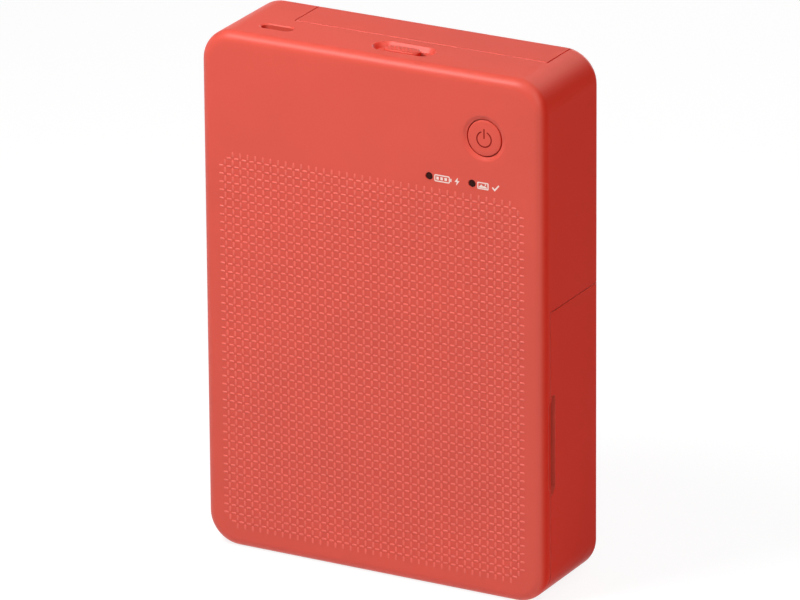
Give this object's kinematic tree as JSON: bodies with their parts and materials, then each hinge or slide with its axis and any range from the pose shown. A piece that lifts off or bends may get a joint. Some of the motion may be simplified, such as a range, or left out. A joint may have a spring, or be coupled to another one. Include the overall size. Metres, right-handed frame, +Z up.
{
  "type": "compact photo printer",
  "caption": "Slim upright sheet-fed photo printer with a rear paper cover, a side ink door, a power button, a cover latch and a thermal print mechanism.",
  "frame": {"origin": "middle of the casing's footprint on the surface it stands on", "axes": "+Z up the casing, +X to the right seen from the front, front face towards -Y"},
  "size_m": [0.1022, 0.033, 0.1458],
  "materials": {
    "coral_plastic": "satin, finely textured",
    "door_plastic": "satin, finely textured",
    "button_plastic": "satin",
    "lens": "clear dark red",
    "grey_plastic": "satin",
    "cassette_plastic": "fine texture",
    "gear_plastic": "smooth acetal",
    "steel": "brushed",
    "zinc_sheet": "zinc-plated sheet",
    "alloy": "extruded",
    "ceramic": "glazed ceramic",
    "rubber": "matt",
    "circuit_board": "solder mask",
    "chip": "moulded epoxy",
    "battery_wrap": "shrink wrap",
    "film": "thin dye film",
    "dark_film": "wound dye film"
  },
  "bodies": {
    "root": {"front_shell": "coral_plastic", "rear_panel": "coral_plastic", "charge_light": "lens", "status_light": "lens", "usb_shell": "steel", "usb_tongue": "chip", "main_board": "circuit_board", "board_chips": "chip", "button_switch": "steel", "battery": "battery_wrap", "left_frame": "zinc_sheet", "right_frame": "zinc_sheet", "tie_rods": "steel", "motor_plate": "zinc_sheet", "head_beam": "zinc_sheet", "head_pin": "steel", "paper_tray": "grey_plastic", "paper_motor": "zinc_sheet", "ribbon_motor": "zinc_sheet", "cassette_case": "cassette_plastic", "ink_ribbon": "film", "door_pin": "steel", "cover_pins": "steel", "bushes": "gear_plastic", "case_screws": "steel", "frame_screws": "steel", "rear_feet": "rubber"},
    "paper_cover": {"paper_cover": "coral_plastic", "cover_feet": "rubber"},
    "pressure_plate": {"pressure_plate": "zinc_sheet"},
    "ink_door": {"ink_door": "door_plastic"},
    "power_button": {"power_button": "button_plastic"},
    "latch": {"latch_knob": "button_plastic", "latch_bar": "grey_plastic", "latch_spring": "steel"},
    "print_head": {"head_arm": "zinc_sheet", "heat_sink": "alloy", "print_head": "ceramic", "head_springs": "steel"},
    "capstan": {"capstan_roller": "steel", "capstan_gear": "gear_plastic"},
    "pinch_roller": {"pinch_roller": "rubber"},
    "platen": {"platen_shaft": "steel", "platen_rubber": "rubber"},
    "feed_roller": {"feed_shaft": "steel", "feed_tyres": "rubber", "feed_gear": "gear_plastic"},
    "low_idler": {"low_idler": "gear_plastic"},
    "reduction_gear": {"reduction_gear": "gear_plastic"},
    "middle_idler": {"middle_idler": "gear_plastic"},
    "high_idler": {"high_idler": "gear_plastic"},
    "motor_pinion": {"motor_pinion": "gear_plastic"},
    "takeup_spool": {"takeup_spool": "gear_plastic", "takeup_film": "dark_film", "takeup_gear": "gear_plastic"},
    "supply_spool": {"supply_spool": "gear_plastic", "supply_film": "film"},
    "ribbon_pinion": {"ribbon_pinion": "gear_plastic"}
  },
  "joints": [
    {"name": "cover_hinge", "type": "hinge", "parent": "root", "child": "paper_cover", "pos_m": [0, 0.01335, 0.048], "axis": [-1, 0, 0], "range_deg": [0, 80]},
    {"name": "plate_hinge", "type": "hinge", "parent": "paper_cover", "child": "pressure_plate", "pos_m": [0, 0.0131, 0.1412], "axis": [-1, 0, 0], "range_deg": [0, 3]},
    {"name": "door_hinge", "type": "hinge", "parent": "root", "child": "ink_door", "pos_m": [0.0481, 0.01295, 0], "axis": [0, 0, 1], "range_deg": [0, 90]},
    {"name": "button_press", "type": "slide", "parent": "root", "child": "power_button", "axis": [0, 1, 0], "range_m": [0, 0.0004], "stiffness_N_per_m": 400},
    {"name": "latch_slide", "type": "slide", "parent": "root", "child": "latch", "axis": [1, 0, 0], "range_m": [0, 0.003], "stiffness_N_per_m": 300, "deforming": ["latch_spring"]},
    {"name": "head_lift", "type": "hinge", "parent": "root", "child": "print_head", "pos_m": [0, -0.00385, 0.049], "axis": [-1, 0, 0], "range_deg": [0, 6], "stiffness_Nm_per_rad": 0.5, "springref_deg": -2.86, "deforming": ["head_springs"]},
    {"name": "capstan_spin", "type": "hinge", "parent": "root", "child": "capstan", "pos_m": [0, 0.00875, 0.012], "axis": [1, 0, 0], "continuous": true},
    {"name": "pinch_spin", "type": "hinge", "parent": "root", "child": "pinch_roller", "pos_m": [0, 0.00275, 0.012], "axis": [1, 0, 0], "continuous": true},
    {"name": "platen_spin", "type": "hinge", "parent": "root", "child": "platen", "pos_m": [0, 0.00975, 0.04], "axis": [1, 0, 0], "continuous": true},
    {"name": "feed_spin", "type": "hinge", "parent": "root", "child": "feed_roller", "pos_m": [0, 0.00315, 0.081], "axis": [1, 0, 0], "continuous": true},
    {"name": "low_idler_spin", "type": "hinge", "parent": "root", "child": "low_idler", "pos_m": [0, 0.00516, 0.02292], "axis": [1, 0, 0], "continuous": true},
    {"name": "reduction_spin", "type": "hinge", "parent": "root", "child": "reduction_gear", "pos_m": [0, 0.00433, 0.03389], "axis": [1, 0, 0], "continuous": true},
    {"name": "middle_idler_spin", "type": "hinge", "parent": "root", "child": "middle_idler", "pos_m": [0, 0.00234, 0.04674], "axis": [1, 0, 0], "continuous": true},
    {"name": "high_idler_spin", "type": "hinge", "parent": "root", "child": "high_idler", "pos_m": [0, -0.00076, 0.06549], "axis": [1, 0, 0], "continuous": true},
    {"name": "motor_spin", "type": "hinge", "parent": "root", "child": "motor_pinion", "pos_m": [0, -0.00581, 0.03661], "axis": [1, 0, 0], "continuous": true},
    {"name": "supply_spin", "type": "hinge", "parent": "root", "child": "supply_spool", "pos_m": [0, -0.00415, 0.062], "axis": [1, 0, 0], "continuous": true},
    {"name": "takeup_spin", "type": "hinge", "parent": "root", "child": "takeup_spool", "pos_m": [0, -0.00415, 0.022], "axis": [1, 0, 0], "continuous": true},
    {"name": "ribbon_motor_spin", "type": "hinge", "parent": "root", "child": "ribbon_pinion", "pos_m": [0, -0.00672, 0.01495], "axis": [1, 0, 0], "continuous": true}
  ],
  "couplings": [
    {"joint": "low_idler_spin", "follows": "capstan_spin", "ratio": -0.64286},
    {"joint": "reduction_spin", "follows": "capstan_spin", "ratio": 1.125},
    {"joint": "middle_idler_spin", "follows": "capstan_spin", "ratio": -0.5},
    {"joint": "high_idler_spin", "follows": "capstan_spin", "ratio": 0.45},
    {"joint": "feed_spin", "follows": "capstan_spin", "ratio": -0.75},
    {"joint": "motor_spin", "follows": "capstan_spin", "ratio": -3.6},
    {"joint": "pinch_spin", "follows": "capstan_spin", "ratio": -1.1111},
    {"joint": "platen_spin", "follows": "capstan_spin", "ratio": 0.75},
    {"joint": "takeup_spin", "follows": "supply_spin", "ratio": 1.2609},
    {"joint": "ribbon_motor_spin", "follows": "supply_spin", "ratio": -2.5217}
  ]
}
